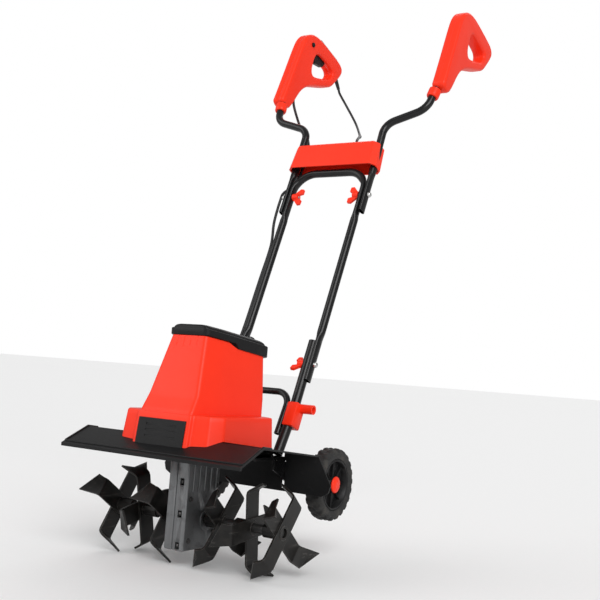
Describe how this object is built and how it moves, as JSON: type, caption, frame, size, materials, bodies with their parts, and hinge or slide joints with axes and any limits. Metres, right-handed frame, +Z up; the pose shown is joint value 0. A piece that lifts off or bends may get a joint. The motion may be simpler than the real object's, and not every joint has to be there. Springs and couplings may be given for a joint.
{
  "type": "tiller",
  "caption": "Walk-behind electric tiller with star tines under a guard, motor tower, rear wheels and a folding tube frame ending in D-shaped handles.",
  "frame": {"origin": "middle of the flat foot under the gear case, on the tine axle's vertical plane", "axes": "+X along the tine axle to the operator's right, +Y back towards the operator, +Z up along the gear case column"},
  "size_m": [0.459, 0.9659, 1.2441],
  "materials": {
    "red_plastic": "glossy moulded red",
    "black_plastic": "satin black moulding",
    "black_paint": "gloss black paint on steel tube",
    "tine_steel": "worn dark paint on pressed steel",
    "cast_alloy": "die-cast, satin",
    "bright_steel": "zinc plated",
    "dark_steel": "blackened steel",
    "bronze": "machined bronze",
    "copper_pack": "varnished windings on a steel pack",
    "soft_rubber": "soft-touch, matt",
    "tyre_rubber": "moulded tread, matt",
    "cord_rubber": "cable sheath, satin"
  },
  "bodies": {
    "base": {"gear_case_left": "cast_alloy", "gear_case_right": "cast_alloy", "gear_case_bolt_1": "dark_steel", "gear_case_bolt_2": "dark_steel", "gear_case_bolt_3": "dark_steel", "axle_bearing_left": "bright_steel", "axle_bearing_right": "bright_steel", "motor_plate": "cast_alloy", "motor_stator": "copper_pack", "tine_guard": "black_plastic", "motor_housing": "red_plastic", "vent_panel": "black_plastic", "housing_cap": "black_plastic", "lower_tube_left": "black_paint", "lower_tube_right": "black_paint", "carry_arch": "black_paint", "frame_clamp": "red_plastic", "rear_bracket": "black_paint", "wheel_axle": "bright_steel", "pivot_bolt_lower_left": "bright_steel", "pivot_bolt_lower_right": "bright_steel", "power_lead_lower": "cord_rubber"},
    "tine_shaft": {"tine_axle": "dark_steel", "worm_wheel": "bronze", "tine_inner_left": "tine_steel", "tine_middle_left": "tine_steel", "tine_outer_left": "tine_steel", "tine_inner_right": "tine_steel", "tine_middle_right": "tine_steel", "tine_outer_right": "tine_steel"},
    "rotor": {"armature": "dark_steel", "cooling_fan": "black_plastic"},
    "wheel_left": {"tyre_left": "tyre_rubber", "wheel_rim_left": "black_plastic", "hub_cap_left": "red_plastic"},
    "wheel_right": {"tyre_right": "tyre_rubber", "wheel_rim_right": "black_plastic", "hub_cap_right": "red_plastic"},
    "middle": {"middle_frame": "black_paint", "pivot_bolt_upper_left": "bright_steel", "pivot_bolt_upper_right": "bright_steel", "power_lead_middle": "cord_rubber"},
    "upper": {"upper_tube_left": "black_paint", "upper_tube_right": "black_paint", "cross_cover": "red_plastic", "handle_left_outer": "red_plastic", "handle_left_inner": "red_plastic", "handle_right_outer": "red_plastic", "handle_right_inner": "red_plastic", "grip_pad_left": "soft_rubber", "grip_pad_right": "soft_rubber", "cord_relief": "soft_rubber", "switch_cord": "cord_rubber", "power_lead_upper": "cord_rubber"},
    "trigger": {"trigger": "black_plastic"},
    "lock_button": {"lock_button": "black_plastic"},
    "knob_lower_left": {"wing_knob_lower_left": "red_plastic"},
    "knob_lower_right": {"wing_knob_lower_right": "red_plastic"},
    "knob_upper_left": {"wing_knob_upper_left": "red_plastic"},
    "knob_upper_right": {"wing_knob_upper_right": "red_plastic"}
  },
  "joints": [
    {"name": "tine_spin", "type": "hinge", "parent": "base", "child": "tine_shaft", "pos_m": [0, 0, 0.052], "axis": [1, 0, 0], "continuous": true},
    {"name": "rotor_spin", "type": "hinge", "parent": "base", "child": "rotor", "pos_m": [0, -0.0361, 0.252], "axis": [0, 0, 1], "continuous": true},
    {"name": "wheel_left_spin", "type": "hinge", "parent": "base", "child": "wheel_left", "pos_m": [-0.1475, 0.228, 0.119], "axis": [1, 0, 0], "continuous": true},
    {"name": "wheel_right_spin", "type": "hinge", "parent": "base", "child": "wheel_right", "pos_m": [0.1475, 0.228, 0.119], "axis": [1, 0, 0], "continuous": true},
    {"name": "middle_fold", "type": "hinge", "parent": "base", "child": "middle", "pos_m": [0, 0.222, 0.351], "axis": [1, 0, 0], "range_deg": [-10, 95]},
    {"name": "upper_fold", "type": "hinge", "parent": "middle", "child": "upper", "pos_m": [0, 0.379, 0.73191], "axis": [1, 0, 0], "range_deg": [-115, 10]},
    {"name": "trigger_pull", "type": "hinge", "parent": "upper", "child": "trigger", "pos_m": [-0.213, 0.626, 1.17491], "axis": [1, 0, 0], "range_deg": [0, 4.5], "stiffness_Nm_per_rad": 0.6, "springref_deg": -6.88},
    {"name": "lock_press", "type": "slide", "parent": "upper", "child": "lock_button", "axis": [-1, 0, 0], "range_m": [0, 0.003], "stiffness_N_per_m": 300, "springref_m": -0.001},
    {"name": "knob_lower_left_turn", "type": "hinge", "parent": "base", "child": "knob_lower_left", "pos_m": [-0.06, 0.222, 0.351], "axis": [1, 0, 0], "continuous": true},
    {"name": "knob_lower_right_turn", "type": "hinge", "parent": "base", "child": "knob_lower_right", "pos_m": [0.06, 0.222, 0.351], "axis": [1, 0, 0], "continuous": true},
    {"name": "knob_upper_left_turn", "type": "hinge", "parent": "middle", "child": "knob_upper_left", "pos_m": [-0.071, 0.379, 0.73191], "axis": [1, 0, 0], "continuous": true},
    {"name": "knob_upper_right_turn", "type": "hinge", "parent": "middle", "child": "knob_upper_right", "pos_m": [0.071, 0.379, 0.73191], "axis": [1, 0, 0], "continuous": true}
  ],
  "couplings": [
    {"joint": "rotor_spin", "follows": "tine_spin", "ratio": 32}
  ]
}
